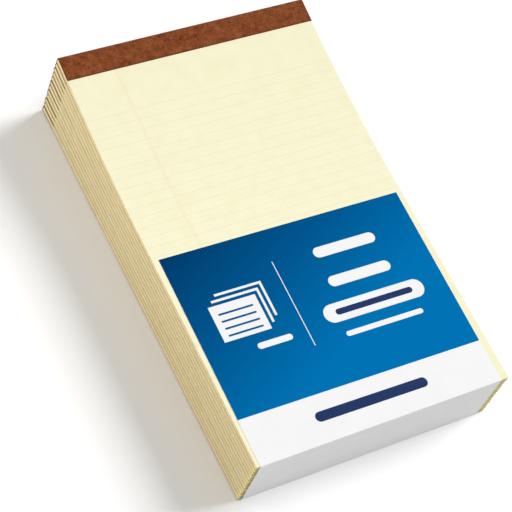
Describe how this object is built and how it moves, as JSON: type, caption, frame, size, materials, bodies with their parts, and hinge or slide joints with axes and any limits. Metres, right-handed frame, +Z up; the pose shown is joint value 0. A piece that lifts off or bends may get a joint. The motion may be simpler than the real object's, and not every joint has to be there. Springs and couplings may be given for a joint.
{
  "type": "pack of legal pads",
  "caption": "Banded pack of canary legal pads: ruled leaves on backing boards, stapled and bound over the head, held at the foot by a folded paper label.",
  "frame": {"origin": "middle of the pack's outline, on the surface that it lies on", "axes": "+X across the pads, +Y towards the bound head, +Z up"},
  "size_m": [0.2162, 0.3564, 0.0699],
  "materials": {
    "canary_paper": "matt uncoated writing paper",
    "backing_board": "matt grey-brown chipboard",
    "headband": "leather-grained binding paper, satin",
    "staple_wire": "bright flat wire",
    "label_paper": "smooth coated label paper",
    "blue_ink": "printed ink, satin",
    "navy_ink": "printed ink, satin",
    "rule_ink": "printed ink, matt",
    "margin_ink": "printed ink, matt"
  },
  "bodies": {
    "root": {"label": "label_paper", "label_blue_print": "blue_ink", "label_navy_print": "navy_ink", "pad_01_backing_board": "backing_board", "pad_01_headband": "headband", "pad_01_sheets": "canary_paper", "pad_01_staples": "staple_wire", "pad_02_backing_board": "backing_board", "pad_02_headband": "headband", "pad_02_sheets": "canary_paper", "pad_02_staples": "staple_wire", "pad_03_backing_board": "backing_board", "pad_03_headband": "headband", "pad_03_sheets": "canary_paper", "pad_03_staples": "staple_wire", "pad_04_backing_board": "backing_board", "pad_04_headband": "headband", "pad_04_sheets": "canary_paper", "pad_04_staples": "staple_wire", "pad_05_backing_board": "backing_board", "pad_05_headband": "headband", "pad_05_sheets": "canary_paper", "pad_05_staples": "staple_wire", "pad_06_backing_board": "backing_board", "pad_06_headband": "headband", "pad_06_sheets": "canary_paper", "pad_06_staples": "staple_wire", "pad_07_backing_board": "backing_board", "pad_07_headband": "headband", "pad_07_sheets": "canary_paper", "pad_07_staples": "staple_wire", "pad_08_backing_board": "backing_board", "pad_08_headband": "headband", "pad_08_sheets": "canary_paper", "pad_08_staples": "staple_wire", "pad_09_backing_board": "backing_board", "pad_09_headband": "headband", "pad_09_sheets": "canary_paper", "pad_09_staples": "staple_wire", "pad_10_backing_board": "backing_board", "pad_10_headband": "headband", "pad_10_sheets": "canary_paper", "pad_10_staples": "staple_wire", "pad_11_backing_board": "backing_board", "pad_11_headband": "headband", "pad_11_sheets": "canary_paper", "pad_11_staples": "staple_wire", "pad_12_backing_board": "backing_board", "pad_12_headband": "headband", "pad_12_sheets": "canary_paper", "pad_12_staples": "staple_wire", "page_margin_lines": "margin_ink", "page_ruling": "rule_ink"}
  },
  "joints": []
}
